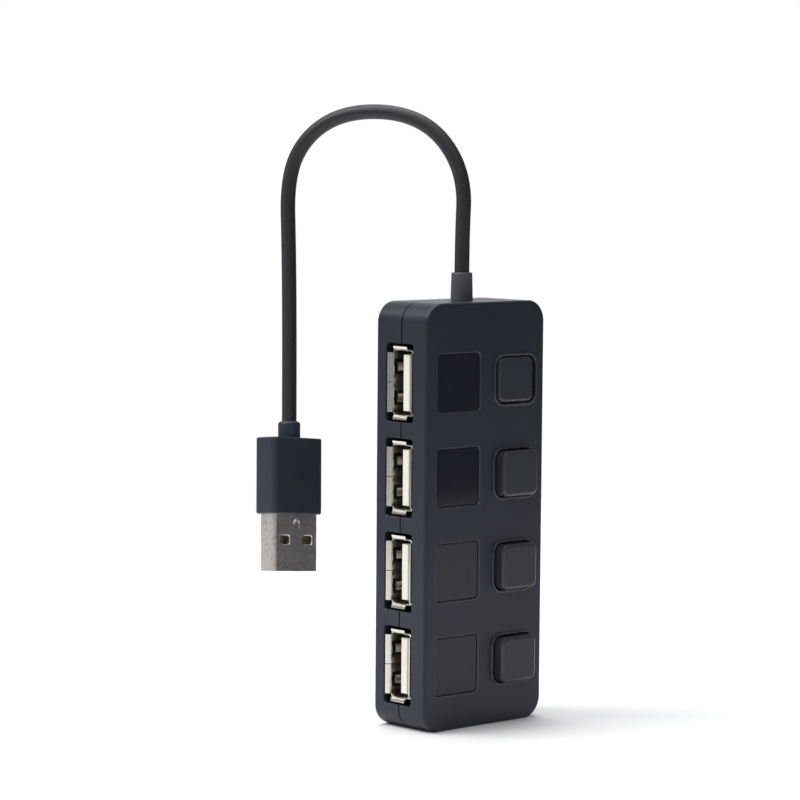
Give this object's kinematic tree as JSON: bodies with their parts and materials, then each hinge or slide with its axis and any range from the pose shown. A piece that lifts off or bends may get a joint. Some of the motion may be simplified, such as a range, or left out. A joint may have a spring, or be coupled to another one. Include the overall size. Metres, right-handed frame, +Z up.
{
  "type": "usb hub",
  "caption": "Slim upright USB hub in black plastic with side sockets, a latching pushbutton and dark window for each socket, and a short captive cord that arches over to its plug.",
  "frame": {"origin": "middle of the case's foot, where its centre line meets the surface that it stands on", "axes": "+Z up along the case's length, +X to the right across the front, +Y away from the viewer; buttons and windows face -Y, sockets face -X, the cord leaves along +Z"},
  "size_m": [0.0434, 0.046, 0.1235],
  "materials": {
    "case_plastic": "fine-textured black moulded ABS with a faint cool tint",
    "button_plastic": "fine-textured black moulded ABS, edges polished by use",
    "window_lens": "smoked dark polycarbonate lens",
    "port_nickel": "nickel-plated stamped steel sheet",
    "tongue_ivory": "ivory moulded nylon",
    "contact_gold": "gold-flashed spring contacts",
    "board_green": "solder-masked glass-epoxy board",
    "chip_epoxy": "moulded black epoxy",
    "tinned_metal": "tinned leads and terminals",
    "ceramic_tan": "ceramic chip components",
    "led_clear": "clear LED encapsulant on a white base",
    "switch_black": "black nylon switch housing",
    "plunger_white": "white acetal",
    "spring_steel": "bright drawn spring wire",
    "relief_rubber": "dark grey-black moulded PVC",
    "cord_jacket": "matte black PVC jacket",
    "overmold_plastic": "satin blue-black moulded PVC",
    "plug_nickel": "nickel-plated plug shell",
    "plug_grey": "grey moulded plug insulator",
    "lead_red": "red lead insulation",
    "lead_white": "white lead insulation",
    "lead_green": "green lead insulation",
    "lead_black": "black lead insulation",
    "can_metal": "drawn metal can"
  },
  "bodies": {
    "hub": {"bulk_capacitor": "can_metal", "cable": "cord_jacket", "ceramic_capacitors": "ceramic_tan", "chip_leads": "tinned_metal", "circuit_board": "board_green", "crystal": "can_metal", "front_shell": "case_plastic", "hub_chip": "chip_epoxy", "lead_data_minus": "lead_white", "lead_data_plus": "lead_green", "lead_ground": "lead_black", "lead_power": "lead_red", "led_window_1": "window_lens", "led_window_2": "window_lens", "led_window_3": "window_lens", "led_window_4": "window_lens", "plug_contacts": "contact_gold", "plug_insulator": "plug_grey", "plug_overmold": "overmold_plastic", "plug_shell": "plug_nickel", "rear_shell": "case_plastic", "resistors": "chip_epoxy", "status_led_1": "led_clear", "status_led_2": "led_clear", "status_led_3": "led_clear", "status_led_4": "led_clear", "strain_relief": "relief_rubber", "switch_body_1": "switch_black", "switch_body_2": "switch_black", "switch_body_3": "switch_black", "switch_body_4": "switch_black", "switch_spring_1": "spring_steel", "switch_spring_2": "spring_steel", "switch_spring_3": "spring_steel", "switch_spring_4": "spring_steel", "switch_terminals": "tinned_metal", "usb_port_contacts_1": "contact_gold", "usb_port_contacts_2": "contact_gold", "usb_port_contacts_3": "contact_gold", "usb_port_contacts_4": "contact_gold", "usb_port_shell_1": "port_nickel", "usb_port_shell_2": "port_nickel", "usb_port_shell_3": "port_nickel", "usb_port_shell_4": "port_nickel", "usb_port_tongue_1": "tongue_ivory", "usb_port_tongue_2": "tongue_ivory", "usb_port_tongue_3": "tongue_ivory", "usb_port_tongue_4": "tongue_ivory"},
    "button_1": {"button_cap_1": "button_plastic", "switch_plunger_1": "plunger_white"},
    "button_2": {"button_cap_2": "button_plastic", "switch_plunger_2": "plunger_white"},
    "button_3": {"button_cap_3": "button_plastic", "switch_plunger_3": "plunger_white"},
    "button_4": {"button_cap_4": "button_plastic", "switch_plunger_4": "plunger_white"}
  },
  "joints": [
    {"name": "button_1_press", "type": "slide", "parent": "hub", "child": "button_1", "axis": [0, 1, 0], "range_m": [-0.00165, 0.00035], "deforming": ["switch_spring_1"]},
    {"name": "button_2_press", "type": "slide", "parent": "hub", "child": "button_2", "axis": [0, 1, 0], "range_m": [0, 0.002], "stiffness_N_per_m": 300, "springref_m": -0.001, "deforming": ["switch_spring_2"]},
    {"name": "button_3_press", "type": "slide", "parent": "hub", "child": "button_3", "axis": [0, 1, 0], "range_m": [0, 0.002], "stiffness_N_per_m": 300, "springref_m": -0.001, "deforming": ["switch_spring_3"]},
    {"name": "button_4_press", "type": "slide", "parent": "hub", "child": "button_4", "axis": [0, 1, 0], "range_m": [0, 0.002], "stiffness_N_per_m": 300, "springref_m": -0.001, "deforming": ["switch_spring_4"]}
  ]
}
